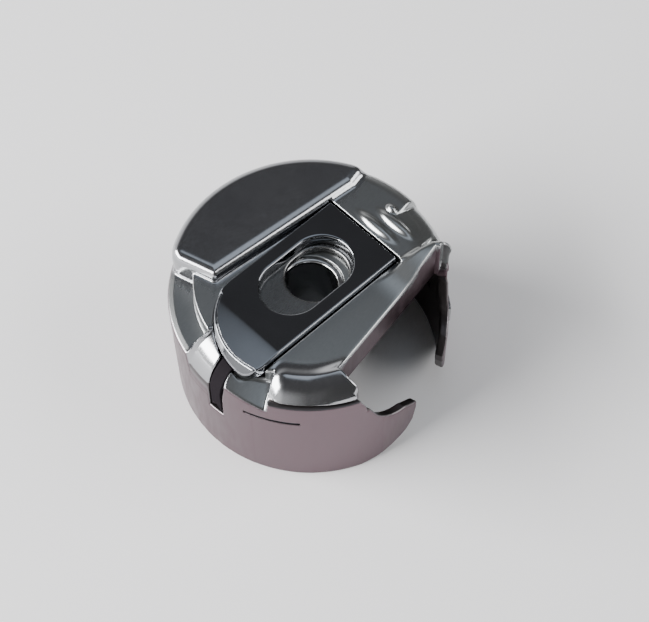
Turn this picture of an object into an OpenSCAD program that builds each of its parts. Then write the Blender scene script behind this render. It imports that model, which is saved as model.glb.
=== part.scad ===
// Rotary-hook bobbin case: a steel cup, open end down, with a latch on its face.
// Origin: on the axis, in the plane of the open rim. +Z goes up out of the face.
// +X runs along the latch lever, from its free end to its hinge.
// +Y points to the raised segment; the thread opening is on the -Y side.

/* [Cup] */
// Outside radius of the cup
case_r = 12; // [11.9:0.05:12.1]
// Thickness of the cup wall
wall_t = 0.8; // [0.7:0.05:0.9]
// Height of the underside of the face above the rim
ceiling_z = 9.4; // [9.3:0.05:9.5]
// Height of the floor of the slideway above the rim
floor_z = 11.4; // [11.35:0.05:11.5]
// Height of the plain part of the face
face_z = 12.7; // [12.6:0.05:12.8]
// Height of the raised segment and the horn root
raised_z = 13.9; // [13.8:0.05:14.0]

/* [Centre tube] */
// Radius of the bore that runs on the hook's spindle
bore_r = 2.35; // [2.3:0.01:2.4]
// Outside radius of the centre tube
tube_r = 2.95; // [2.9:0.01:3.0]

/* [Latch] */
// Half the width of the lever
lever_half_w = 4; // [3.9:0.02:4.02]
// Thickness of the lever
lever_t = 1.15; // [1.05:0.05:1.2]
// Thickness of the slide
slide_t = 0.7; // [0.6:0.05:0.75]
// Travel of the slide
slide_travel = 1.3; // [1.1:0.05:1.3]
// Radius of the hinge pin
pin_r = 0.38; // [0.36:0.01:0.4]

/* [Thread tension] */
// Thickness of the tension spring
leaf_t = 0.25; // [0.2:0.01:0.3]
// Height of the middle of the tension spring above the rim
leaf_z = 5.65; // [5.4:0.05:5.9]
// Radius of the adjusting screw's head
adjuster_r = 1.25; // [1.1:0.05:1.35]

/* [Hidden] */
$fn = 96;
eps = 0.01;
far = 30;

// Cup
cup_r = case_r - wall_t;
wall_top_z = 11.3;
// The face's edge is turned to this radius where it meets the wall
edge_round = 1.3;
raised_round = 0.6;
raised_edge_r = case_r - 0.2;
rim_chamfer = 0.12;

// Slideway and latch levels
gap = 0.08;
slide_z = floor_z + 0.04;
slide_top_z = slide_z + slide_t;
lever_z = slide_top_z + 0.04;
lever_top_z = lever_z + lever_t;

// Lever outline: a bar whose free end is an arc set off the bar's axis
lever_end_x = 6.25;
nose_r = 6.55;
nose_centre = [-3.85, -2.2];
nose_corner = [[-10.6, -2.9], [-10.3, -3.2], [-10.0, -3.6], [-9.6, -3.88], [-9.1, -4.0],
    [-8.9, -4.6], [-10.9, -4.6]];
window_r = 2.65;
window_x = [-2.05, 1.45];
hinge_x = lever_end_x - 0.6;
hinge_z = slide_z + 0.61;
knuckle_r = 0.58;
knuckle_half_w = 2.5;
bridge_x = lever_end_x + 0.2;

// Slide
keyhole_r = 2.45;
keyhole_x = [0.55, 1.25];
slide_narrow_x = 4.9;
tail_y = -1.1;
tail_w = 1.3;
tail_slot_w = 1.5;
tail_centre = [-8.65, slide_top_z - 3.2];
tail_out_r = 3.2;
tail_t = 0.6;
// The curl's inside is larger than the slot's floor, so that the tail slides over it
tail_room_r = tail_out_r - slide_t - 0.06;
tail_end_z = 6.4;
tail_slot_z = 6.1;

// Return spring
spring_y = 2.9;
spring_z = 10.75;
spring_r = 0.5;
spring_wire_r = 0.09;
spring_start_x = -6.9;
spring_end_x = -3.05;
spring_turns = 8;
spring_room_r = 0.65;

// Stop pin
stop_x = -5.7;
stop_y = -2.3;
stop_r = 0.5;

// Raised ribs on the bridge behind the hinge: place, half width and half length of each
ribs = [[7.3, -0.6, 0.48, 1.9], [8.85, -1.4, 0.48, 1.75], [9.8, -0.5, 0.35, 0.55]];
rib_h = 0.42;

// Raised corner of the far horn: its ridge in plan, and the ramp that leads up to it along X
ridge = [[1.5, -4.1], [5.9, -4.4], [8.1, -4.7], [9.4, -5.0], [10.1, -5.6], [10.7, -6.8],
    [14, -10], [14, -20], [1.5, -20]];
ramp_start_x = 2;
ramp_length = 7;

// Domed pad in front of the recess: where it starts, where it is highest, and its height
pad_start_r = 8.4;
pad_dome_r = 9.6;
pad_h = 0.35;
pad_drop = 0.32;

// Opening in the side: a straight edge across the face and a gap in the wall
chord_near = [-4.4, -8.2];
chord_far = [9.3, -5.75];
face_gap_near = [[-3.4, -14.5], [-4.0, -11.3], [-4.45, -9.4]];
face_gap_far = [12.9, -12.0];
opening_az = -72.5;
gap_start_r = 8.6;
// Gap in the wall as half widths and heights, from the tips up and down
gap_round = 2.8;
gap_round_at = [3.9, 9.0];
gap_half_w = 7.65;
tip_half_w = 2.45;
tip_top_z = 5.2;
tip_bottom_z = 4.4;

// Places round the cup, in degrees from +X
pocket_az = [118, 168.4];
pocket_r = 9.75;
shoulder_az = [168, 190];
recess_az = [188.8, 209.8];
recess_r = 10.2;
recess_floor_z = 11.35;
pad_az = [209.5, 256];
brake_slit_az = [199.4, 222.8];
brake_slit_z = 8.7;
brake_slit_h = 0.25;

// Tension spring and its screws
leaf_az = [-41, 40];
leaf_h = 3.3;
fixing_az = 31;
adjuster_az = 8;
screw_r = 0.55;
fixing_head_r = 1.0;
thread_slot_w = 0.5;

// ---------- helpers ----------

// A sector of everything between two directions
module sector(az, z0, z1) {
    translate([0, 0, z0])
        rotate([0, 0, az[0]])
            rotate_extrude(angle = az[1] - az[0])
                square([far, z1 - z0]);
}

// Points of an arc in a plane
function arc(c, r, a0, a1, n = 16) =
    [for (i = [0:n]) let (a = a0 + (a1 - a0) * i / n) c + r * [cos(a), sin(a)]];

// A solid of revolution up to height top, with its outer edge rounded
module turned(r, shoulder_z, top, round) {
    rotate_extrude()
        polygon(concat([[0, 0], [r - rim_chamfer, 0], [r, rim_chamfer], [r, shoulder_z]],
            arc([r - round, top - round], round, 0, 90), [[0, top]]));
}

// A stadium-shaped cut along X
module stadium(r, xs, z0, z1) {
    translate([0, 0, z0])
        linear_extrude(z1 - z0)
            union() {
                translate([xs[0], 0]) circle(r);
                translate([xs[1], 0]) circle(r);
                translate([xs[0], -r]) square([xs[1] - xs[0], 2 * r]);
            }
}

// Outline of the lever, grown by g; its nose is an arc set off its axis
module lever_bar(g) {
    half = lever_half_w + g;
    intersection() {
        translate([-far, -half]) square([far + lever_end_x, 2 * half]);
        union() {
            translate(nose_centre) circle(nose_r + g, $fn = 160);
            translate([nose_centre[0], -half]) square([far, 2 * half]);
        }
    }
}

// The lever's outline with its lower nose corner cut off
module lever_outline(g) {
    difference() {
        lever_bar(g);
        translate([g * cos(225), g * sin(225)]) polygon(nose_corner);
    }
}

// A box that reaches outward from the axis at one direction
module radial_box(az, r0, r1, w, z0, z1) {
    rotate([0, 0, az])
        translate([r0, -w / 2, z0])
            cube([r1 - r0, w, z1 - z0]);
}

// ---------- case body ----------

// Raised segment beside the lever, in plan
module segment_plan() {
    offset(r = 0.4, $fn = 24)
        polygon([[-5.8, 5.35], [8.9, 4.2], [far, 9.3], [far, far], [-13.5, far]]);
}

// The opening in the face: a straight edge, with an end to each side of it
module face_gap() {
    translate([0, 0, ceiling_z - eps])
        linear_extrude(far)
            polygon(concat([chord_near, chord_far, face_gap_far, [0, -far]], face_gap_near));
}

// One side of the gap in the wall, as half widths and heights
function gap_side() = concat(
    [[7.6, -1], [7.4, -eps], [6.2, 0.3], [5.0, 1.0], [3.6, 1.8], [2.8, 2.8],
     [tip_half_w, tip_bottom_z], [tip_half_w, tip_top_z]],
    arc(gap_round_at, gap_round, -90, -20),
    [[gap_half_w, wall_top_z - 0.3], [gap_half_w, far]]);

// Both sides of the gap as one outline
function gap_outline(side) =
    concat(side, [for (i = [len(side) - 1:-1:0]) [-side[i][0], side[i][1]]]);

module wall_gap() {
    rotate([0, 0, opening_az + 90])
        rotate([90, 0, 0])
            translate([0, 0, gap_start_r])
                linear_extrude(far) polygon(gap_outline(gap_side()));
}

// The plain face and wall, before anything is raised from them
module plain_cup() {
    difference() {
        turned(case_r, wall_top_z, face_z, edge_round);
        shoulder_cut(shoulder_az, 3.8);
        difference() {
            sector(pocket_az, floor_z - 0.4, face_z + eps);
            cylinder(r = pocket_r, h = far);
        }
        recess();
    }
}

// Fingernail recess: its floor falls toward the wall
module recess() {
    fall = 0.35 * (far - recess_r);
    rotate([0, 0, recess_az[0]])
        rotate_extrude(angle = recess_az[1] - recess_az[0])
            polygon([[recess_r, recess_floor_z], [far, recess_floor_z - fall], [far, far],
                [recess_r, far]]);
}

// Everything that stands above the plain face
module raised_parts() {
    intersection() {
        turned(raised_edge_r, raised_z - raised_round, raised_z, raised_round);
        translate([0, 0, ceiling_z + 0.8]) linear_extrude(far) segment_plan();
    }
    intersection() {
        turned(case_r - 0.03, lever_top_z - edge_round, lever_top_z, edge_round);
        translate([bridge_x, -lever_half_w - 0.8, ceiling_z + 1])
            cube([far, 2 * lever_half_w + 1.2, far]);
    }
    horn_root();
    for (rib = ribs)
        translate([rib[0], rib[1], lever_top_z - 0.08])
            scale([rib[2], rib[3], rib_h]) sphere(1, $fn = 32);
}

// Raised corner where the straight edge meets the far side of the wall: a ramp along its ridge
module horn_root() {
    low = face_z - 0.25;
    ramp = [for (i = [0:12]) let (t = i / 12)
        [ramp_start_x + ramp_length * t, low + (raised_z - low) * t * t * (3 - 2 * t)]];
    intersection() {
        turned(case_r - 0.06, raised_z - raised_round, raised_z + 0.02, raised_round);
        translate([0, 0, ceiling_z + 1.2])
            linear_extrude(far) polygon(ridge);
        rotate([90, 0, 0])
            linear_extrude(far)
                polygon(concat(ramp, [[far, raised_z], [far, 0], [ramp_start_x, 0]]));
    }
}

// The domed shoulder between the fingernail recess and the opening
module pad() {
    pad_r = case_r - 0.25;
    dome = [for (i = [0:12]) let (r = pad_r - (pad_r - pad_dome_r) * i / 12)
        [r, face_z + pad_h - pad_drop * pow(r - pad_dome_r, 2)]];
    rotate([0, 0, pad_az[0]])
        rotate_extrude(angle = pad_az[1] - pad_az[0])
            polygon(concat([[pad_start_r, wall_top_z - 1], [pad_r, wall_top_z - 1]], dome,
                [[pad_start_r, face_z - 0.03]]));
}

// Cuts away the corner of the face to a large round
module shoulder_cut(az, round) {
    rotate([0, 0, az[0]])
        rotate_extrude(angle = az[1] - az[0])
            polygon(concat(arc([case_r - round, face_z - round], round, 0, 90),
                [[case_r - round, far], [far, far], [far, face_z - round]]));
}

// The room for the slide's tail, over the shoulder and down the wall
module tail_slot() {
    translate([0, tail_y + tail_slot_w / 2, 0])
        rotate([90, 0, 0])
            linear_extrude(tail_slot_w)
                polygon(concat(
                    [[-far, far], [-far, tail_slot_z],
                     [tail_centre[0] - tail_room_r, tail_slot_z]],
                    arc(tail_centre, tail_room_r, 180, 90),
                    [[-7.5, tail_centre[1] + tail_room_r], [-7.5, far]]));
}

module case_body() {
    color("gainsboro")
    difference() {
        union() {
            plain_cup();
            raised_parts();
            pad();
        }
        translate([0, 0, -eps]) cylinder(r = cup_r, h = ceiling_z + eps);
        face_gap();
        wall_gap();
        translate([0, 0, floor_z]) linear_extrude(far) lever_outline(gap);
        translate([lever_end_x - 1, -lever_half_w - gap, floor_z])
            cube([bridge_x - lever_end_x + 1, 2 * (lever_half_w + gap), far]);
        tail_slot();
        cylinder(r = tube_r, h = far);
        spring_room();
        translate([stop_x, stop_y, ceiling_z + 0.5]) cylinder(r = stop_r, h = far);
        rotate([0, 0, brake_slit_az[0]])
            translate([0, 0, brake_slit_z])
                rotate_extrude(angle = brake_slit_az[1] - brake_slit_az[0])
                    translate([cup_r - 1, 0]) square([3, brake_slit_h]);
        thread_slot();
        screw_hole(fixing_az, screw_r);
        screw_hole(adjuster_az, screw_r + 0.04);
    }
}

// Groove under the slide that holds the return spring
module spring_room() {
    translate([spring_start_x, spring_y - spring_room_r, spring_z - spring_room_r])
        cube([spring_end_x - spring_start_x + 0.7, 2 * spring_room_r, 2]);
}

// Thread slot: from the rim up, then round the wall under the tension spring
module thread_slot() {
    slot_az = 46;
    radial_box(slot_az, cup_r - 1, far, thread_slot_w, -eps, leaf_z - 0.1);
    translate([0, 0, leaf_z - thread_slot_w])
        rotate([0, 0, -24])
            rotate_extrude(angle = slot_az + 24)
                translate([cup_r - 1, 0]) square([3, thread_slot_w]);
}

module screw_hole(az, r) {
    rotate([0, 0, az])
        translate([cup_r - 1, 0, leaf_z + 0.75])
            rotate([0, 90, 0]) cylinder(r = r, h = 3, $fn = 32);
}

// ---------- centre tube ----------

module centre_tube() {
    color("silver")
    difference() {
        cylinder(r = tube_r, h = floor_z);
        translate([0, 0, -eps]) cylinder(r = bore_r, h = far);
    }
}

// ---------- latch ----------

module latch_slide() {
    color("darkgray")
    difference() {
        union() {
            translate([0, 0, slide_z])
                linear_extrude(slide_t)
                    intersection() {
                        translate([slide_travel + 0.12, 0]) lever_outline(0);
                        union() {
                            translate([-far, -lever_half_w])
                                square([far + slide_narrow_x, 2 * lever_half_w]);
                            translate([0, -knuckle_half_w]) square([hinge_x, 2 * knuckle_half_w]);
                        }
                    }
            translate([hinge_x, knuckle_half_w, hinge_z])
                rotate([90, 0, 0]) cylinder(r = knuckle_r, h = 2 * knuckle_half_w, $fn = 48);
            slide_tail();
            translate([spring_end_x + 0.02, spring_y - 0.45, spring_z - 0.5])
                cube([0.5, 0.9, slide_z + 0.1 - spring_z + 0.5]);
        }
        stadium(keyhole_r, keyhole_x, slide_z - eps, slide_top_z + eps);
        translate([hinge_x, 0, hinge_z])
            rotate([90, 0, 0]) cylinder(r = pin_r - 0.005, h = far, center = true, $fn = 32);
        translate([stop_x, stop_y, 0])
            stadium(stop_r + 0.05, [0, slide_travel], slide_z - 1, slide_top_z + 1);
    }
}

// Tail of the slide: curls over the shoulder and down the wall
module slide_tail() {
    translate([0, tail_y + tail_w / 2, 0])
        rotate([90, 0, 0])
            linear_extrude(tail_w)
                polygon(concat(
                    [[-7.2, slide_z], [-7.2, slide_top_z]],
                    arc(tail_centre, tail_out_r, 90, 180),
                    [[tail_centre[0] - tail_out_r, tail_end_z],
                     [tail_centre[0] - tail_out_r + tail_t, tail_end_z]],
                    arc(tail_centre, tail_out_r - tail_t, 180, 90)));
}

module latch_lever() {
    cheek_w = lever_half_w - knuckle_half_w - 0.1;
    color("dimgray")
    difference() {
        union() {
            translate([0, 0, lever_z]) linear_extrude(lever_t) lever_outline(0);
            for (s = [-1, 1])
                translate([hinge_x, s * (lever_half_w - cheek_w / 2), hinge_z])
                    rotate([90, 0, 0])
                        cylinder(r = knuckle_r, h = cheek_w, center = true, $fn = 48);
        }
        stadium(window_r, window_x, lever_z - eps, far);
        // Room for the slide's knuckle between the cheeks
        translate([hinge_x, 0, hinge_z])
            rotate([90, 0, 0])
                cylinder(r = knuckle_r + 0.08, h = 2 * knuckle_half_w + 0.2, center = true, $fn = 48);
        translate([hinge_x, 0, hinge_z])
            rotate([90, 0, 0]) cylinder(r = pin_r + 0.04, h = far, center = true, $fn = 32);
        // Rounded heel, so that the end turns clear of the bridge
        heel_cut();
    }
}

module heel_cut() {
    round = 0.3;
    translate([lever_end_x - round, 0, lever_top_z - round])
        rotate([90, 0, 0])
            difference() {
                translate([0, 0, -far]) cube([far, far, 2 * far]);
                cylinder(r = round, h = 3 * far, center = true, $fn = 32);
            }
}

module latch_hinge_pin() {
    color("silver")
    translate([hinge_x, 0, hinge_z])
        rotate([90, 0, 0]) cylinder(r = pin_r, h = 2 * lever_half_w - 0.1, center = true, $fn = 32);
}

// Coil spring along X: a wire swept along a helix
module latch_spring() {
    sides = 8;
    steps = 16;
    rings = spring_turns * steps;
    length = spring_end_x - spring_start_x - 2 * spring_wire_r - 0.04;
    lead = length / (2 * PI * spring_r * spring_turns);
    mid_r = spring_r - spring_wire_r;
    function ring(i) =
        let (a = 360 * i / steps,
             c = [length * i / rings, mid_r * cos(a), mid_r * sin(a)],
             out = [0, cos(a), sin(a)],
             side = [1, lead * sin(a), -lead * cos(a)] / norm([1, lead]))
        [for (k = [0:sides - 1])
            c + spring_wire_r * (cos(360 * k / sides) * out + sin(360 * k / sides) * side)];
    points = [for (i = [0:rings]) each ring(i)];
    walls = [for (i = [0:rings - 1], k = [0:sides - 1])
        let (a = i * sides + k, b = i * sides + (k + 1) % sides)
        [a, b, b + sides, a + sides]];
    ends = [[for (k = [sides - 1:-1:0]) k], [for (k = [0:sides - 1]) rings * sides + k]];
    color("lightgray")
    translate([spring_start_x + spring_wire_r + 0.02, spring_y, spring_z])
        polyhedron(points, concat(walls, ends), convexity = 10);
}

module slide_stop_pin() {
    color("silver")
    translate([stop_x, stop_y, ceiling_z + 0.5])
        cylinder(r = stop_r, h = slide_top_z - 0.05 - ceiling_z - 0.5, $fn = 32);
}

// ---------- springs and screws on the wall ----------

// Thin leaf under the face that brakes the bobbin; its tab sits in the wall's slit
module brake_spring() {
    leaf = 0.18;
    color("silver")
    translate([0, 0, brake_slit_z + 0.03]) {
        rotate([0, 0, 150])
            rotate_extrude(angle = 82) translate([6.6, 0]) square([4.3, leaf]);
        rotate([0, 0, brake_slit_az[0] + 0.5])
            rotate_extrude(angle = brake_slit_az[1] - brake_slit_az[0] - 1)
                translate([10.5, 0]) square([case_r - 10.6, leaf]);
    }
}

module tension_spring() {
    inner_r = case_r + 0.02;
    tip_az = -30;
    tip_h = 1.9;
    color("whitesmoke")
    difference() {
        rotate([0, 0, leaf_az[0]])
            rotate_extrude(angle = leaf_az[1] - leaf_az[0])
                translate([inner_r, leaf_z - leaf_h / 2]) square([leaf_t, leaf_h]);
        // The tip is narrower than the rest
        for (z = [leaf_z + tip_h / 2, leaf_z - tip_h / 2 - far])
            rotate([0, 0, leaf_az[0] - 5])
                translate([0, 0, z])
                    rotate_extrude(angle = tip_az - leaf_az[0] + 5)
                        translate([cup_r, 0]) square([far, far]);
        for (az = [fixing_az, adjuster_az])
            rotate([0, 0, az])
                translate([inner_r - 1, 0, leaf_z + 0.75])
                    rotate([0, 90, 0]) cylinder(r = screw_r + 0.06, h = 3, $fn = 32);
    }
}

// A slotted screw standing out from the wall
module wall_screw(az, head_r, head_h, shank_r) {
    seat_r = case_r + 0.02 + leaf_t + 0.04;
    rotate([0, 0, az])
        translate([seat_r, 0, leaf_z + 0.75])
            rotate([0, 90, 0])
                difference() {
                    union() {
                        cylinder(r = head_r, h = head_h, $fn = 48);
                        translate([0, 0, cup_r + 0.1 - seat_r])
                            cylinder(r = shank_r, h = seat_r - cup_r, $fn = 32);
                    }
                    translate([-0.14, -head_r - 1, head_h - 0.25]) cube([0.28, 2 * head_r + 2, 1]);
                }
}

module tension_fixing_screw() {
    color("slategray") wall_screw(fixing_az, fixing_head_r, 0.45, screw_r);
}

module tension_adjusting_screw() {
    color("slategray") wall_screw(adjuster_az, adjuster_r, 0.6, screw_r);
}

case_body();
centre_tube();
latch_slide();
latch_lever();
latch_hinge_pin();
latch_spring();
slide_stop_pin();
brake_spring();
tension_spring();
tension_fixing_screw();
tension_adjusting_screw();
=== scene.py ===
"""Looks for a rotary-hook bobbin case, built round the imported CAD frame.

The steel pieces are modelled as distance fields in millimetres, so that every edge has the small
round that grinding and polishing leave, and then meshed. A field is negative inside the metal.
"""

import math
from collections import namedtuple

import bpy
import numpy as np
import openvdb
from mathutils import Matrix, Vector


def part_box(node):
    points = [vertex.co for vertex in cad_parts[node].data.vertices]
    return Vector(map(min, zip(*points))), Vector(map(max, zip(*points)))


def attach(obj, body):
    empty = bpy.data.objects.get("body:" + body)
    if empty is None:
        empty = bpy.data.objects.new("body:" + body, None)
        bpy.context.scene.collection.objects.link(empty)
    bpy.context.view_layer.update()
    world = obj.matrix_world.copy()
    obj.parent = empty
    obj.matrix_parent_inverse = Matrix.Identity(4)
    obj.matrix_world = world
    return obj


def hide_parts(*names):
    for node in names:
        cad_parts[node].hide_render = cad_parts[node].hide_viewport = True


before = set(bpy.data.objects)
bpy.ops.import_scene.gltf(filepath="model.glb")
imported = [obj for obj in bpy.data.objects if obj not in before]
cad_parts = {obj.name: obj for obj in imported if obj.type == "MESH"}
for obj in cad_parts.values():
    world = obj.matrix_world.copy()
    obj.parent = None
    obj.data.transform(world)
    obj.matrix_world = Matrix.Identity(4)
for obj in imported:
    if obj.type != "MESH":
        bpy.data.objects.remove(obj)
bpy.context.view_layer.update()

MM = 0.001
# A length in mm that reaches past every piece
FAR = 30
# Lengths round the case are measured at this radius
TURN_R = 11

# ---------------------------------------------------------------- sizes taken from the frame


def box_mm(node):
    """Lowest and highest corner of a CAD node, in millimetres."""
    low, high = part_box(node)
    return [v / MM for v in low], [v / MM for v in high]


case_high = box_mm("case_body")[1]
tube_low, tube_high = box_mm("centre_tube")
slide_low, slide_high = box_mm("latch_slide")
lever_low, lever_high = box_mm("latch_lever")
pin_low, pin_high = box_mm("latch_hinge_pin")

CASE_R = case_high[1]
RAISED_Z = case_high[2]
TUBE_R = tube_high[0]
FLOOR_Z = tube_high[2]
LEVER_TOP = lever_high[2]
LEVER_END_X = lever_high[0]
LEVER_HALF_W = lever_high[1]
SLIDE_TOP = FLOOR_Z + 0.74
SLIDE_BOTTOM = FLOOR_Z + 0.04
HINGE_X = (pin_low[0] + pin_high[0]) / 2
HINGE_Z = (pin_low[2] + pin_high[2]) / 2
PIN_R = (pin_high[2] - pin_low[2]) / 2

# ---------------------------------------------------------------- sizes of the shape, in mm

# Cup
WALL_T = 0.8
CUP_R = CASE_R - WALL_T
CEILING_Z = 9.4
FACE_Z = 12.7
WALL_TOP_Z = 11.3
BORE_R = 2.35
OPENING_AZ = math.radians(-72.5)
CUT_START_R = CUP_R - 1
OPENING_START_R = 8.6
SLIT_Z = (8.66, 8.99)
LEAF_Z = 5.65
THREAD_SLOT_AZ = 46
THREAD_SLOT_W = 0.5
SCREW_Z = 6.4
SCREW_AZ = (31, 8)
SCREW_HOLE_R = 0.57

# Parts of the face, as directions from the axis in degrees
POCKET_AZ = (118, 168.4)
SHOULDER_AZ = (168.5, 190.5)
NAIL_AZ = (190, 209.5)
FRONT_AZ = (204, 256)
PAD_MIDDLE_AZ = 232.5
PAD_HALF_AZ = 23.5
PAD_R = 9.6
PAD_TURN_R = 10.5
GROOVE_AZ = (210, 251)
SLIT_AZ = (199.4, 222.8)
# These two cross +X, so they are counted from -Y
WORN_AZ = (59, 85.5)
LEVEL_SLOT_AZ = (66, 136)

# Raised ribs on the bridge: place, half length and half width
RIBS = (((7.3, -0.6), 1.9, 0.48), ((8.65, -1.5), 1.75, 0.48), ((9.5, -0.2), 0.5, 0.35))
RIB_H = 0.42
RIB_SINK = 0.08

# Latch
GAP = 0.06
LEVER_T = 1.15
NOSE_R = 6.55
NOSE_CENTRE = (-3.85, -2.2)
WINDOW_R = 2.65
WINDOW_X = (-2.05, 1.45)
KEYHOLE_R = 2.45
KEYHOLE_X = (0.55, 1.25)
KNUCKLE_R = 0.58
SLIDE_HALF_W = 2.5
CHEEK_Y = 2.6
BRIDGE_X = LEVER_END_X + 0.2
TAIL_Y = -1.1
TAIL_W = 1.3
TAIL_SLOT_W = 1.5
TAIL_OUT_R = 3.2
TAIL_CENTRE = (-8.65, SLIDE_TOP - TAIL_OUT_R)
TAIL_T = 0.6
TAIL_ROOM_R = 2.44
TAIL_END_Z = 6.4
TAIL_SLOT_Z = 6.1
SLIDE_SHIFT = 1.42
SLIDE_NARROW_X = 4.9

# ---------------------------------------------------------------- distance fields


def meet(a, b, k):
    """Both solids at once, with the edge between them rounded over a width k."""
    h = np.maximum(k - np.abs(a - b), 0) / k
    return np.maximum(a, b) + h * h * k / 4


def join(a, b, k):
    """Either solid, with the corner between them filled over a width k."""
    return -meet(-a, -b, k)


def carve(solid, tool, k):
    """The solid without the tool."""
    return meet(solid, -tool, k)


def outline(x, y, points):
    """Signed distance to a closed outline in a plane."""
    d = None
    inside = None
    for (ax, ay), (bx, by) in zip(points, points[-1:] + points[:-1]):
        ex, ey = bx - ax, by - ay
        wx, wy = x - ax, y - ay
        t = np.clip((wx * ex + wy * ey) / (ex * ex + ey * ey), 0, 1)
        near = (wx - ex * t) ** 2 + (wy - ey * t) ** 2
        d = near if d is None else np.minimum(d, near)
        above = y >= ay
        below = y < by
        left = ex * wy > ey * wx
        flip = (above & below & left) | (~above & ~below & ~left)
        inside = flip if inside is None else inside ^ flip
    return np.where(inside, -1.0, 1.0) * np.sqrt(d)


def arc(cx, cy, r, a0, a1, n=16):
    """Points along an arc, angles in degrees."""
    angles = [math.radians(a0 + (a1 - a0) * i / n) for i in range(n + 1)]
    return [(cx + r * math.cos(a), cy + r * math.sin(a)) for a in angles]


def between(v, low, high):
    """Distance outside a range."""
    return np.maximum(low - v, v - high)


def ramp(v, start, end):
    """0 at start and 1 at end, straight between them."""
    return np.clip((v - start) / (end - start), 0, 1)


def ease(v, start, end):
    """0 at start and 1 at end, with a soft start and end."""
    t = ramp(v, start, end)
    return t * t * (3 - 2 * t)


def soft_range(v, low, high, soft):
    """1 inside a range and 0 outside it, with soft ends."""
    rise = np.clip((v - low) / soft + 0.5, 0, 1)
    fall = np.clip((high - v) / soft + 0.5, 0, 1)
    return ease(rise * fall, 0, 1)


def direction_of(x, y):
    """Direction from the axis in degrees, from 0 at +X round to 360."""
    return np.degrees(np.arctan2(y, x)) % 360


def from_minus_y(az):
    """The same direction counted from -Y, for parts that cross +X."""
    return (az + 90) % 360


def lever_plan(x, y, grow):
    """The lever's outline: a bar whose free end is an arc set off its axis."""
    cx, cy = NOSE_CENTRE
    nose = np.hypot(x - cx, y - cy) - (NOSE_R + grow)
    bar = np.minimum(nose, cx - x)
    corner = np.where(y < 0, 1.5, 0.25)
    return meet(bar, np.abs(y) - (LEVER_HALF_W + grow), corner)


def stadium(x, y, r, x0, x1):
    return np.hypot(x - np.clip(x, x0, x1), y) - r


def segment_points():
    """The raised segment beside the lever, in plan, before its corners are rounded."""
    return [(-5.8, 5.35), (8.9, 4.2), (FAR, 9.3), (FAR, FAR), (-13.5, FAR)]


def face_gap_points():
    """The part of the face that is cut away over the opening."""
    straight_edge = [(-4.4, -8.2), (9.3, -5.75)]
    near_end = [(-3.4, -14.5), (-4.0, -11.3), (-4.45, -9.4)]
    return straight_edge + [(12.9, -12.0), (0, -FAR)] + near_end


def ridge_points():
    """The raised root of the far horn, in plan."""
    return [(1.5, -4.1), (5.9, -4.4), (8.1, -4.7), (9.4, -5.0), (10.1, -5.6),
            (10.7, -6.8), (14, -10), (14, -20), (1.5, -20)]


def wall_gap_points():
    """One side of the gap between the horns, as half widths and heights."""
    horn = [(7.6, -1), (7.4, 0), (6.2, 0.3), (5.0, 1.0), (3.6, 1.8), (2.8, 2.8), (2.45, 4.4), (2.45, 5.2)]
    return horn + arc(3.9, 9.0, 2.8, -90, -20, 8) + [(7.65, 11.0), (7.65, FAR), (-1, FAR), (-1, -1)]


def pillow(x, y, z):
    """The domed pad between the fingernail recess and the opening, highest beside the opening."""
    az = direction_of(x, y)
    r = np.hypot(x, y)
    across = (np.abs(az - PAD_MIDDLE_AZ) - PAD_HALF_AZ) * math.radians(PAD_TURN_R)
    lift = 0.55 + 0.38 * ease(az, 226, 248)
    top = FACE_Z - 0.35 + lift * ease(r, 7.9, 9.8)
    out = np.maximum(r - PAD_R, 0)
    dome = (z - top + 0.35 * out * out) / np.sqrt(1 + (0.7 * out) ** 2)
    dome = meet(dome, across, 1.3)
    return meet(meet(dome, r - (CASE_R - 0.26), 0.15), WALL_TOP_Z - 1 - z, 0.1)


def horn_root(x, y, z):
    """The raised corner where the chord meets the far side of the wall."""
    low = FACE_Z - 0.45
    top = low + (RAISED_Z - low) * ease(x, 2, 9)
    block = meet(outline(x, y, ridge_points()), z - top, 0.55)
    swell = np.clip(0.14 * (z - 11.2), 0, 0.3)
    return meet(block, np.hypot(x, y) - (CASE_R + swell), 0.6)


def rib(x, y, z, place, half_length, half_width):
    """One of the finger ribs: the top of a long lens that lies across the case."""
    u = (x - place[0]) / half_width
    v = (y - place[1]) / half_length
    w = (z - LEVER_TOP + RIB_SINK) / RIB_H
    return (np.sqrt(u * u + v * v + w * w) - 1) * 0.4


def from_tail_centre(x, z):
    """Distance from the centre of the tail's curl, carried straight on past both ends of the curl."""
    cx, cz = TAIL_CENTRE
    return np.hypot(np.minimum(x - cx, 0), np.maximum(z - cz, 0))


def tail_shape(x, z, inner, outer, end):
    """The tail's curl over the shoulder, seen from the side."""
    shell = between(from_tail_centre(x, z), inner, outer)
    return np.maximum(np.maximum(shell, end - z), x + 6.9)


def radial(x, y, direction):
    """Distances along and across a direction from the axis, given in degrees."""
    c, s = math.cos(math.radians(direction)), math.sin(math.radians(direction))
    return x * c + y * s, y * c - x * s


def round_the_case(az, limits):
    """Distance outside a range of directions."""
    return between(az, *limits) * math.radians(TURN_R)


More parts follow.
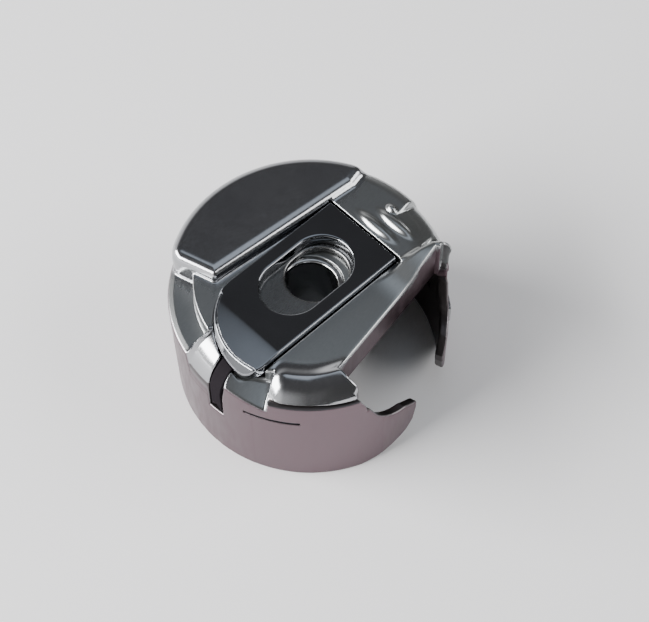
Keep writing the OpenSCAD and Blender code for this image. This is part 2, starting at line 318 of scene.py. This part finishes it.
def raised_shapes(x, y, z):
    """The face and wall with all that stands on them, before the inside and the openings are cut."""
    r = np.hypot(x, y)
    az = direction_of(x, y)
    shoulder = soft_range(az, *SHOULDER_AZ, 3)
    front = soft_range(az, *FRONT_AZ, 3)
    worn = soft_range(from_minus_y(az), *WORN_AZ, 3)
    edge = 1.5 + 3.4 * shoulder + 2.0 * front
    skirt = meet(r - CASE_R, z - (WALL_TOP_Z - 3.6 * shoulder), 0.15)
    head = meet(r - (CASE_R - 0.3 * front), z - FACE_Z, edge)
    solid = join(skirt, head, 0.06)

    pocket = np.maximum(round_the_case(az, POCKET_AZ), 9.75 - r)
    pocket_floor = FLOOR_Z - 0.4 - 0.4 * np.maximum(r - 11.5, 0)
    solid = carve(solid, meet(pocket, pocket_floor - z, 0.1), 0.14)
    nail_start = 9.6 + 0.06 * (207 - az)
    nail_floor = 11.85 - 0.35 * (r - 10) - 0.062 * (az - 192)
    nail = np.maximum(round_the_case(az, NAIL_AZ), nail_start - r)
    solid = carve(solid, meet(nail, nail_floor - z, 0.3), 0.22)

    above_ceiling = CEILING_Z + 1 - z
    segment = meet(outline(x, y, segment_points()) - 0.4, z - RAISED_Z, 1.0)
    segment = meet(segment, r - (CASE_R - 0.15), 1.0)
    solid = join(solid, np.maximum(segment, above_ceiling), 0.2)
    sides = np.abs(y + 0.02) - 4.43 - 0.12 * np.maximum(x - BRIDGE_X, 0)
    bridge = meet(np.maximum(BRIDGE_X - x, sides), z - LEVER_TOP, 0.15)
    bridge = meet(bridge, r - CASE_R, 1.5 + 1.8 * worn)
    solid = join(solid, np.maximum(bridge, above_ceiling), 0.3)
    solid = join(solid, np.maximum(horn_root(x, y, z), above_ceiling), 0.4)
    for place, half_length, half_width in RIBS:
        solid = join(solid, rib(x, y, z, place, half_length, half_width), 0.2)
    return join(solid, pillow(x, y, z), 0.3)


def cut_openings(solid, x, y, z):
    """Cuts the inside of the cup, the gap between the horns and the groove under the pad."""
    r = np.hypot(x, y)
    solid = carve(solid, meet(r - CUP_R, z - CEILING_Z, 0.4), 0.14)
    chord = np.maximum(outline(x, y, face_gap_points()), CEILING_Z - 0.01 - z)
    solid = carve(solid, chord, 0.28)
    out = math.cos(OPENING_AZ), math.sin(OPENING_AZ)
    depth = x * out[0] + y * out[1]
    side = np.abs(y * out[0] - x * out[1])
    gap = np.maximum(outline(side, z, wall_gap_points()), OPENING_START_R - depth)
    solid = carve(solid, gap, 0.25)
    groove = np.maximum(np.abs(z - WALL_TOP_Z) - 0.09, round_the_case(direction_of(x, y), GROOVE_AZ))
    return carve(solid, np.maximum(groove, CASE_R - 0.5 - r), 0.1)


def cut_slideway(solid, x, y, z):
    """Cuts the bed of the lever and slide, the tail's slot, the tube's seat and the spring's room."""
    bed = np.minimum(lever_plan(x, y, GAP), np.maximum(np.abs(y) - LEVER_HALF_W - GAP, -x))
    bed = np.maximum(bed, x - BRIDGE_X)
    solid = carve(solid, np.maximum(bed, FLOOR_Z - z), 0.14)
    tail_room = np.maximum(TAIL_ROOM_R - from_tail_centre(x, z), TAIL_SLOT_Z - z)
    tail_room = np.maximum(tail_room, x + 7.5)
    solid = carve(solid, np.maximum(tail_room, np.abs(y - TAIL_Y) - TAIL_SLOT_W / 2), 0.2)
    solid = carve(solid, np.hypot(x, y) - TUBE_R, 0.1)
    spring_room = np.maximum(between(x, -6.9, -2.35), between(y, 2.25, 3.55))
    return carve(solid, np.maximum(spring_room, between(z, 10.1, FLOOR_Z + 0.1)), 0.05)


def cut_wall(solid, x, y, z):
    """Cuts the brake spring's slit, the thread slot and the screw holes through the wall."""
    r = np.hypot(x, y)
    az = direction_of(x, y)
    slit = np.maximum(round_the_case(az, SLIT_AZ), between(z, *SLIT_Z))
    solid = carve(solid, np.maximum(slit, CUT_START_R - r), 0.05)
    up, over = radial(x, y, THREAD_SLOT_AZ)
    thread_slot = np.maximum(np.abs(over) - THREAD_SLOT_W / 2, z - LEAF_Z)
    solid = carve(solid, np.maximum(thread_slot, CUT_START_R - up), 0.12)
    level_slot = round_the_case(from_minus_y(az), LEVEL_SLOT_AZ)
    level_slot = np.maximum(level_slot, between(z, LEAF_Z - THREAD_SLOT_W, LEAF_Z))
    solid = carve(solid, np.maximum(level_slot, CUT_START_R - r), 0.12)
    for direction in SCREW_AZ:
        up, over = radial(x, y, direction)
        hole = np.hypot(over, z - SCREW_Z) - SCREW_HOLE_R
        solid = carve(solid, np.maximum(hole, CUT_START_R - up), 0.05)
    return solid


def case_field(x, y, z):
    solid = raised_shapes(x, y, z)
    solid = cut_openings(solid, x, y, z)
    solid = cut_slideway(solid, x, y, z)
    solid = cut_wall(solid, x, y, z)
    return meet(solid, -z, 0.14)


def mesh_from(name, field, low, high, cell, keep=1.0):
    """Meshes a field over a box, puts the vertices exactly on the surface and returns the object."""
    axes = [np.arange(a - 3 * cell, b + 3 * cell, cell, dtype=np.float32) for a, b in zip(low, high)]
    x, y, z = axes[0][:, None, None], axes[1][None, :, None], axes[2][None, None, :]
    values = np.broadcast_to(field(x, y, z), [len(a) for a in axes])
    values = np.ascontiguousarray(np.clip(values, -3 * cell, 3 * cell), dtype=np.float32)
    grid = openvdb.FloatGrid(background=3 * cell)
    grid.copyFromArray(values)
    points, quads = grid.convertToQuads(isovalue=0)
    at = points * cell + np.array([a[0] for a in axes])
    at = settle(field, at, cell)
    mesh = bpy.data.meshes.new(name)
    mesh.vertices.add(len(at))
    mesh.vertices.foreach_set("co", (at * MM).ravel())
    mesh.loops.add(quads.size)
    mesh.polygons.add(len(quads))
    mesh.polygons.foreach_set("loop_start", np.arange(0, quads.size, 4))
    mesh.loops.foreach_set("vertex_index", outward(field, at, quads).ravel())
    mesh.update()
    mesh.validate()
    piece = bpy.data.objects.new(name, mesh)
    bpy.context.scene.collection.objects.link(piece)
    if keep < 1:
        thin(piece, keep)
        at = np.empty(len(piece.data.vertices) * 3)
        piece.data.vertices.foreach_get("co", at)
        at = settle(field, at.reshape(-1, 3) / MM, cell * 0.5)
        piece.data.vertices.foreach_set("co", (at * MM).ravel())
    piece.data.shade_smooth()
    piece.data.normals_split_custom_set_from_vertices(slope(field, at, cell * 0.25)[1])
    return piece


def slope(field, at, step):
    """How far points are from the surface, and the direction in which the field grows there."""
    columns = [at[:, i].copy() for i in range(3)]
    value = field(*columns)
    grown = []
    for i in range(3):
        ends = []
        for s in (step, -step):
            moved = list(columns)
            moved[i] = columns[i] + s
            ends.append(field(*moved))
        grown.append((ends[0] - ends[1]) / (2 * step))
    growth = np.stack(grown, 1)
    length = np.maximum(np.linalg.norm(growth, axis=1), 1e-6)
    return value / length, growth / length[:, None]


def settle(field, at, reach):
    """Moves points onto the surface in three steps, none longer than half of reach."""
    for _ in range(3):
        value, direction = slope(field, at, reach * 0.2)
        at = at - direction * np.clip(value, -reach * 0.5, reach * 0.5)[:, None]
    return at


def outward(field, at, quads):
    """The quads with their normals pointing out of the metal."""
    middle = at[quads].mean(1)
    normal = np.cross(at[quads[:, 1]] - at[quads[:, 0]], at[quads[:, 2]] - at[quads[:, 0]])
    direction = slope(field, middle, 0.02)[1]
    wrong = (normal * direction).sum(1).sum() < 0
    return quads[:, ::-1] if wrong else quads


def thin(piece, keep):
    """Joins faces where the surface is flat."""
    modifier = piece.modifiers.new("thin", "DECIMATE")
    modifier.ratio = keep
    modifier.use_collapse_triangulate = True
    shape = piece.evaluated_get(bpy.context.evaluated_depsgraph_get())
    piece.data = bpy.data.meshes.new_from_object(shape)
    piece.modifiers.clear()


def from_hinge(x, z):
    return np.hypot(x - HINGE_X, z - HINGE_Z)


def lever_field(x, y, z):
    """The lever: its nose bends down a little and has a bevelled lip with a fine line inside it."""
    plan = lever_plan(x, y, 0)
    bend = np.maximum(-7.0 - x, 0)
    level = z + 0.1 * bend * bend / (bend + 0.4)
    slab = meet(plan, level - LEVER_TOP, 0.16)
    nose = np.hypot(x - NOSE_CENTRE[0], y - NOSE_CENTRE[1]) - NOSE_R
    lip_w = 0.12 + 0.48 * ramp(y, 2.5, -3.0)
    # 1.28 is the length of the bevel's slope of 1 along and 0.8 down, so that lip is a distance
    lip = np.where(x < -6.5, (nose + 0.8 * (level - LEVER_TOP) + lip_w) / 1.28, -1.0)
    slab = meet(slab, lip, 0.08)
    slab = meet(slab, x - LEVER_END_X - 0.03, 0.12)
    slab = meet(slab, (LEVER_TOP - LEVER_T) - level, 0.1)
    heel = np.maximum(from_hinge(x, z) - KNUCKLE_R, between(np.abs(y), CHEEK_Y, LEVER_HALF_W))
    solid = join(slab, heel, 0.08)
    solid = carve(solid, stadium(x, y, WINDOW_R, *WINDOW_X), 0.25)
    line = np.maximum(np.abs(nose + lip_w + 0.1) - 0.05, x + 6.6)
    line = np.maximum(line, np.abs(y) - LEVER_HALF_W + 0.25)
    solid = carve(solid, np.maximum(line, LEVER_TOP - 0.1 - level), 0.04)
    knuckle_room = np.maximum(from_hinge(x, z) - KNUCKLE_R - 0.08, np.abs(y) - CHEEK_Y)
    solid = carve(solid, knuckle_room, 0.05)
    return carve(solid, from_hinge(x, z) - (PIN_R + 0.04), 0.04)


def slide_field(x, y, z):
    """The slide: a plate with a keyhole, a hinge knuckle, a curled tail, a spring lug and a stop slot."""
    plan = meet(lever_plan(x - SLIDE_SHIFT, y, 0), x - SLIDE_NARROW_X, 0.1)
    plan = np.minimum(plan, np.maximum(np.abs(y) - SLIDE_HALF_W, between(x, 0, HINGE_X)))
    plate = meet(plan, between(z, SLIDE_BOTTOM, SLIDE_TOP), 0.1)
    knuckle = np.maximum(from_hinge(x, z) - KNUCKLE_R, np.abs(y) - SLIDE_HALF_W)
    solid = join(plate, knuckle, 0.08)
    tail = tail_shape(x, z, TAIL_OUT_R - TAIL_T, TAIL_OUT_R, TAIL_END_Z)
    notch = (z - 6.95) + 1.1 * np.abs(y - TAIL_Y)
    tail = carve(meet(tail, np.abs(y - TAIL_Y) - TAIL_W / 2, 0.12), notch, 0.05)
    solid = join(solid, tail, 0.1)
    lug = np.maximum(between(x, -3.03, -2.53), np.maximum(between(y, 2.45, 3.35), between(z, 10.25, 11.5)))
    solid = join(solid, lug, 0.05)
    solid = carve(solid, stadium(x, y, KEYHOLE_R, *KEYHOLE_X), 0.22)
    stop_slot = stadium(x + 5.7, y + 2.3, 0.55, 0, 1.3)
    solid = carve(solid, stop_slot, 0.05)
    return carve(solid, from_hinge(x, z) - PIN_R, 0.03)


def tube_field(x, y, z):
    r = np.hypot(x, y)
    wall = meet(r - TUBE_R, between(z, 0, FLOOR_Z), 0.2)
    return carve(wall, r - BORE_R, 0.3)


# ---------------------------------------------------------------- materials


def nodes_of(material):
    material.use_nodes = True
    tree = material.node_tree
    return tree, tree.nodes["Principled BSDF"]


def noise(tree, place, stretch, scale, detail):
    """Noise in object space, drawn out along the axes with a small stretch value."""
    mapping = tree.nodes.new("ShaderNodeMapping")
    mapping.inputs["Scale"].default_value = stretch
    tree.links.new(place, mapping.inputs["Vector"])
    texture = tree.nodes.new("ShaderNodeTexNoise")
    texture.inputs["Scale"].default_value = scale
    texture.inputs["Detail"].default_value = detail
    tree.links.new(mapping.outputs["Vector"], texture.inputs["Vector"])
    return texture.outputs["Fac"]


def spread(tree, source, low, high, start=0.3, end=0.7):
    """A value that follows source from low to high."""
    node = tree.nodes.new("ShaderNodeMapRange")
    for name, value in zip(("From Min", "From Max", "To Min", "To Max"), (start, end, low, high)):
        node.inputs[name].default_value = value
    tree.links.new(source, node.inputs["Value"])
    return node.outputs["Result"]


def blend(tree, factor, a, b):
    """A colour between a and b. Each is a socket or a plain colour."""
    node = tree.nodes.new("ShaderNodeMix")
    node.data_type = "RGBA"
    tree.links.new(factor, node.inputs["Factor"])
    for name, value in (("A", a), ("B", b)):
        socket = next(i for i in node.inputs if i.name == name and i.type == "RGBA")
        if isinstance(value, tuple):
            socket.default_value = (*value, 1)
        else:
            tree.links.new(value, socket)
    return next(o for o in node.outputs if o.type == "RGBA")


def amount(tree, factor, a, b):
    """A number between a and b. Each is a socket or a plain number."""
    node = tree.nodes.new("ShaderNodeMix")
    tree.links.new(factor, node.inputs["Factor"])
    for i, value in ((2, a), (3, b)):
        if isinstance(value, float):
            node.inputs[i].default_value = value
        else:
            tree.links.new(value, node.inputs[i])
    return node.outputs[0]


Steel = namedtuple("Steel", "material tree shader colour gloss lines")

FACE_DARK = (0.34, 0.345, 0.36)
FACE_LIGHT = (0.5, 0.505, 0.52)
SATIN_DARK = (0.33, 0.34, 0.34)
SATIN_LIGHT = (0.44, 0.45, 0.45)
# The wall's two tones: the noise between them is the ground finish's grain, and their mauve tint is a
# painted reflection of a pinkish surface.
WALL_DARK_PAINTED_PINK = (0.104, 0.07, 0.082)
WALL_LIGHT_PAINTED_PINK = (0.156, 0.106, 0.122)
# Painted shade: near black for the inside of the cup and the groove under the pad.
INSIDE_PAINTED_SHADE = (0.1, 0.09, 0.09)
# Painted shade: near black for the tail where it lies in its slot.
TAIL_PAINTED_SHADE = (0.015, 0.013, 0.015)


def steel(name, dark, light, rough, brushed=(1, 1, 8), bump=0.1):
    """Polished steel: a slight change of tone, fine brush lines and smears."""
    material = bpy.data.materials.new(name)
    tree, shader = nodes_of(material)
    shader.inputs["Metallic"].default_value = 1.0
    place = tree.nodes.new("ShaderNodeTexCoord").outputs["Object"]
    lines = noise(tree, place, brushed, 2600, 2)
    smears = noise(tree, place, (1, 1, 1), 260, 3)
    colour = blend(tree, smears, dark, light)
    gloss = spread(tree, lines, *rough)
    dents = tree.nodes.new("ShaderNodeBump")
    dents.inputs["Strength"].default_value = bump
    dents.inputs["Distance"].default_value = 0.000002
    tree.links.new(lines, dents.inputs["Height"])
    tree.links.new(dents.outputs["Normal"], shader.inputs["Normal"])
    tree.links.new(colour, shader.inputs["Base Color"])
    tree.links.new(gloss, shader.inputs["Roughness"])
    return Steel(material, tree, shader, colour, gloss, lines)


def grey_steel(name, dark, light, rough, brushed=(1, 1, 8)):
    """Steel of one grey all over, that runs between two levels."""
    return steel(name, (dark,) * 3, (light,) * 3, rough, brushed).material


def case_steel(name):
    """The case: polished face, ground outer wall with a painted pinkish reflection, satin hollows, and
    painted shade that darkens the inside and the groove under the pad.
    """
    material, tree, shader, colour, gloss, lines = steel(
        name, FACE_DARK, FACE_LIGHT, (0.12, 0.22), (1, 5, 1), 0.12)
    # The region attribute holds the wall, with its painted pinkish reflection, the satin hollows, and the
    # inside, with its painted shade.
    regions = tree.nodes.new("ShaderNodeAttribute")
    regions.attribute_name = "finish_and_painted_light"
    split = tree.nodes.new("ShaderNodeSeparateColor")
    tree.links.new(regions.outputs["Color"], split.inputs["Color"])
    wall, satin, inside = split.outputs
    place = tree.nodes.new("ShaderNodeTexCoord").outputs["Object"]
    ground = noise(tree, place, (1, 1, 0.25), 1500, 4)
    # Painted reflection: the wall's mauve tint, laid over the ground finish's grain.
    wall_colour = blend(tree, ground, WALL_DARK_PAINTED_PINK, WALL_LIGHT_PAINTED_PINK)
    satin_colour = blend(tree, lines, SATIN_DARK, SATIN_LIGHT)
    colour = blend(tree, satin, colour, satin_colour)
    colour = blend(tree, wall, colour, wall_colour)
    # Painted shade: the inside of the cup and the groove under the pad are darkened to near black.
    colour = blend(tree, inside, colour, INSIDE_PAINTED_SHADE)
    gloss = amount(tree, satin, gloss, 0.28)
    gloss = amount(tree, wall, gloss, spread(tree, ground, 0.28, 0.42))
    gloss = amount(tree, inside, gloss, 0.4)
    tree.links.new(colour, shader.inputs["Base Color"])
    tree.links.new(gloss, shader.inputs["Roughness"])
    return material


def slide_steel(name):
    """The slide: plain steel on its plate, and painted shade on the tail that curls over the shoulder: a
    near-black colour with no metal or shine.
    """
    metal = steel(name, (0.2, 0.2, 0.2), (0.27, 0.27, 0.27), (0.24, 0.32), (1, 6, 1), 0.02)
    tree, shader = metal.tree, metal.shader
    split = tree.nodes.new("ShaderNodeSeparateXYZ")
    tree.links.new(tree.nodes.new("ShaderNodeTexCoord").outputs["Object"], split.inputs["Vector"])
    on_tail = spread(tree, split.outputs["X"], 1.0, 0.0, -7.9 * MM, -6.9 * MM)
    # Painted shade: the tail is near black, with no metal and no specular shine.
    tree.links.new(blend(tree, on_tail, metal.colour, TAIL_PAINTED_SHADE), shader.inputs["Base Color"])
    tree.links.new(amount(tree, on_tail, 1.0, 0.0), shader.inputs["Metallic"])
    shader.inputs["Specular IOR Level"].default_value = 0.0
    return metal.material


def mark_regions(piece):
    """Stores on each vertex how much it belongs to the wall, which takes a painted pinkish reflection, the
    satin hollows, and the inside, which takes painted shade together with the groove under the pad.
    """
    mesh = piece.data
    at = np.empty(len(mesh.vertices) * 3)
    mesh.vertices.foreach_get("co", at)
    x, y, z = (at.reshape(-1, 3) / MM).T
    r = np.hypot(x, y)
    az = direction_of(x, y)
    skin_r = CASE_R - 0.1
    wall = ramp(r, skin_r, skin_r + 0.08) * ramp(z, WALL_TOP_Z + 0.05, WALL_TOP_Z - 0.15)
    straight_cut = ramp(np.abs(outline(x, y, face_gap_points())), 0.2, 0.1)
    cut_top = FACE_Z - 0.25 + ramp(x, 6, 7)
    wall = np.maximum(wall, straight_cut * ramp(z, cut_top, cut_top - 0.1))
    inside = ramp(r, skin_r + 0.08, skin_r) * ramp(z, CEILING_Z + 0.1, CEILING_Z)
    rounded = soft_range(az, 167, 190.5, 1) + soft_range(az, 208, 256, 1)
    polished = rounded * ramp(r, 8.4, 8.7)
    polished = np.maximum(polished, ramp(outline(x, y, segment_points()), 0.9, 0.6))
    # The groove under the pad joins the inside and takes its painted shade.
    groove = ramp(np.abs(z - WALL_TOP_Z), 0.16, 0.12) * soft_range(az, 210, 252, 0.5)
    groove = groove * ramp(r, CASE_R - 0.03, CASE_R - 0.08) * ramp(r, CUP_R, CUP_R + 0.2)
    inside = np.maximum(inside, groove)
    satin = (1 - polished) * (1 - wall) * (1 - inside)
    regions = mesh.attributes.new("finish_and_painted_light", "FLOAT_COLOR", "POINT")
    values = np.stack([wall, satin, inside, np.ones_like(r)], 1)
    regions.data.foreach_set("color", values.ravel())


def coat(piece, material):
    piece.data.materials.clear()
    piece.data.materials.append(material)


def finish_piece(piece, body, material, node):
    """Gives a new piece its material and its body, and hides the CAD node that it stands for."""
    coat(piece, material)
    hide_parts(node)
    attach(piece, body)


def dress(node, material, edge_width):
    """A carried-over CAD node: its own shape with a real material, and worn edges of a given width."""
    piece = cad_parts[node]
    coat(piece, material)
    if edge_width:
        bevel = piece.modifiers.new("worn edges", "BEVEL")
        bevel.width = edge_width * MM
        bevel.segments = 2
        bevel.limit_method = "ANGLE"
        bevel.angle_limit = math.radians(40)
        bevel.harden_normals = True


# ---------------------------------------------------------------- pieces

cell = 0.1
case_keep = 0.38
bright_steel = grey_steel("bright steel", 0.5, 0.7, (0.12, 0.3))
tube_steel = grey_steel("tube steel", 0.4, 0.6, (0.1, 0.25))
blued_steel = steel("blued steel", (0.03, 0.03, 0.04), (0.06, 0.06, 0.08), (0.2, 0.35)).material
screw_steel = steel("screw steel", (0.3, 0.3, 0.31), (0.45, 0.45, 0.46), (0.2, 0.35), (1, 1, 1)).material
lever_steel = steel(
    "lever steel", (0.2, 0.205, 0.215), (0.28, 0.29, 0.31), (0.04, 0.09), (6, 1, 1), 0.02).material

# The case's own box, with room for the swollen root of the far horn
case_box = (-CASE_R - 0.1, -CASE_R - 0.1, 0), (CASE_R + 0.4, CASE_R + 0.1, RAISED_Z)
case = mesh_from("case_shell", case_field, *case_box, cell, case_keep)
mark_regions(case)
finish_piece(case, "case", case_steel("case steel"), "case_body")

lever = mesh_from("lever_plate", lever_field, lever_low, lever_high, cell * 0.5)
finish_piece(lever, "lever", lever_steel, "latch_lever")

slide = mesh_from("slide_plate", slide_field, slide_low, slide_high, cell * 0.7)
finish_piece(slide, "slide", slide_steel("slide steel"), "latch_slide")

tube = mesh_from("spindle_tube", tube_field, tube_low, tube_high, cell * 0.8)
finish_piece(tube, "case", tube_steel, "centre_tube")

DRESSED = (
    ("latch_hinge_pin", bright_steel, 0.06),
    ("slide_stop_pin", bright_steel, 0.06),
    ("tension_spring", bright_steel, 0.03),
    ("brake_spring", blued_steel, 0.03),
    ("tension_fixing_screw", screw_steel, 0.07),
    ("tension_adjusting_screw", screw_steel, 0.07),
    ("latch_spring", bright_steel, 0),
)
for node, material, edge_width in DRESSED:
    dress(node, material, edge_width)

# ---------------------------------------------------------------- floor, light and camera

CAMERA_AZ = -41.8
CAMERA_EL = 59.3
CAMERA_ROLL = -1.83
CAMERA_DISTANCE = 0.14084
CAMERA_LENS = 86.25
# How far right of and above the origin the camera looks, in metres
CAMERA_AIM = (0.00117, 0.00388)
LAMP_DISTANCE = 0.5
FLOOR_HALF = 1.5
PAPER = (0.93, 0.92, 0.925)

# The room: heights are the sine of the elevation
SIDE_LIGHT = (1.2, 1.2, 1.2)
SIDE_LIGHT_TOP = 0.3
UPPER_DIM = (0.1, 0.1, 0.105)
UPPER_DIM_FROM = 0.66
BRIGHT_SIDE = (-0.57, 0.82, 0)
DARK_SIDE = (0.1, 0.1, 0.1)
SKYLIGHT = (0.72, 0.8, 0.9)


def make_floor():
    mesh = bpy.data.meshes.new("floor")
    s = FLOOR_HALF
    mesh.from_pydata([(-s, -s, 0), (s, -s, 0), (s, s, 0), (-s, s, 0)], [], [(0, 1, 2, 3)])
    floor = bpy.data.objects.new("floor", mesh)
    bpy.context.scene.collection.objects.link(floor)
    paper = bpy.data.materials.new("paper")
    shader = nodes_of(paper)[1]
    shader.inputs["Base Color"].default_value = (*PAPER, 1)
    shader.inputs["Roughness"].default_value = 0.9
    mesh.materials.append(paper)


def direction_to(azimuth, elevation):
    """The direction from the case to a place round it: azimuth 0 is seen looking along +Y."""
    a, e = math.radians(azimuth), math.radians(elevation)
    return Vector((math.sin(a) * math.cos(e), -math.cos(a) * math.cos(e), math.sin(e)))


def make_lamp(name, azimuth, elevation, size, power):
    """A soft window of light that faces the case."""
    lamp = bpy.data.lights.new(name, "AREA")
    lamp.shape = "RECTANGLE"
    lamp.size, lamp.size_y = size
    lamp.energy = power
    thing = bpy.data.objects.new(name, lamp)
    thing.location = direction_to(azimuth, elevation) * LAMP_DISTANCE
    thing.rotation_mode = "QUATERNION"
    thing.rotation_quaternion = (-thing.location).to_track_quat("-Z", "Y")
    bpy.context.scene.collection.objects.link(thing)


def make_camera():
    data = bpy.data.cameras.new("camera")
    data.sensor_width = 36
    data.lens = CAMERA_LENS
    data.clip_start = 0.001
    camera = bpy.data.objects.new("camera", data)
    bpy.context.scene.collection.objects.link(camera)
    back = direction_to(CAMERA_AZ, CAMERA_EL)
    right = Vector((math.cos(math.radians(CAMERA_AZ)), math.sin(math.radians(CAMERA_AZ)), 0))
    up = back.cross(right)
    c, s = math.cos(math.radians(CAMERA_ROLL)), math.sin(math.radians(CAMERA_ROLL))
    right, up = right * c + up * s, up * c - right * s
    place = back * CAMERA_DISTANCE
    target = right * CAMERA_AIM[0] + up * CAMERA_AIM[1]
    look = (place - target).normalized()
    right = up.cross(look).normalized()
    up = look.cross(right)
    camera.matrix_world = Matrix.Translation(place) @ Matrix((right, up, look)).transposed().to_4x4()
    bpy.context.scene.camera = camera


def combine(tree, operation, a, b):
    """One number from two sockets."""
    node = tree.nodes.new("ShaderNodeMath")
    node.operation = operation
    tree.links.new(a, node.inputs[0])
    tree.links.new(b, node.inputs[1])
    return node.outputs["Value"]


def make_world():
    """A room with one bright side, a skylight overhead, and dim elsewhere."""
    world = bpy.data.worlds.new("world")
    bpy.context.scene.world = world
    world.use_nodes = True
    tree = world.node_tree
    place = tree.nodes.new("ShaderNodeTexCoord").outputs["Generated"]
    split = tree.nodes.new("ShaderNodeSeparateXYZ")
    tree.links.new(place, split.inputs["Vector"])
    height = split.outputs["Z"]
    room = tree.nodes.new("ShaderNodeValToRGB")
    tree.links.new(height, room.inputs["Fac"])
    room.color_ramp.interpolation = "EASE"
    low, high = room.color_ramp.elements
    low.position, low.color = SIDE_LIGHT_TOP, (*SIDE_LIGHT, 1)
    high.position, high.color = UPPER_DIM_FROM, (*UPPER_DIM, 1)
    side = tree.nodes.new("ShaderNodeVectorMath")
    side.operation = "DOT_PRODUCT"
    side.inputs[1].default_value = BRIGHT_SIDE
    tree.links.new(place, side.inputs[0])
    lit = spread(tree, side.outputs["Value"], 0.0, 1.0, -0.2, 0.35)
    upper = spread(tree, height, 0.0, 1.0, 0.6, 0.7)
    colour = blend(tree, combine(tree, "MAXIMUM", lit, upper), DARK_SIDE, room.outputs["Color"])
    overhead = spread(tree, height, 0.0, 1.0, 0.872, 0.915)
    near = spread(tree, split.outputs["X"], 0.0, 1.0, -0.14, 0.0)
    colour = blend(tree, combine(tree, "MULTIPLY", overhead, near), colour, SKYLIGHT)
    tree.links.new(colour, tree.nodes["Background"].inputs["Color"])


make_floor()
make_world()
make_lamp("left window", CAMERA_AZ - 82, 27, (0.5, 0.22), 8.0)
make_lamp("right window", CAMERA_AZ + 85, 32, (0.4, 0.25), 1.6)
make_camera()
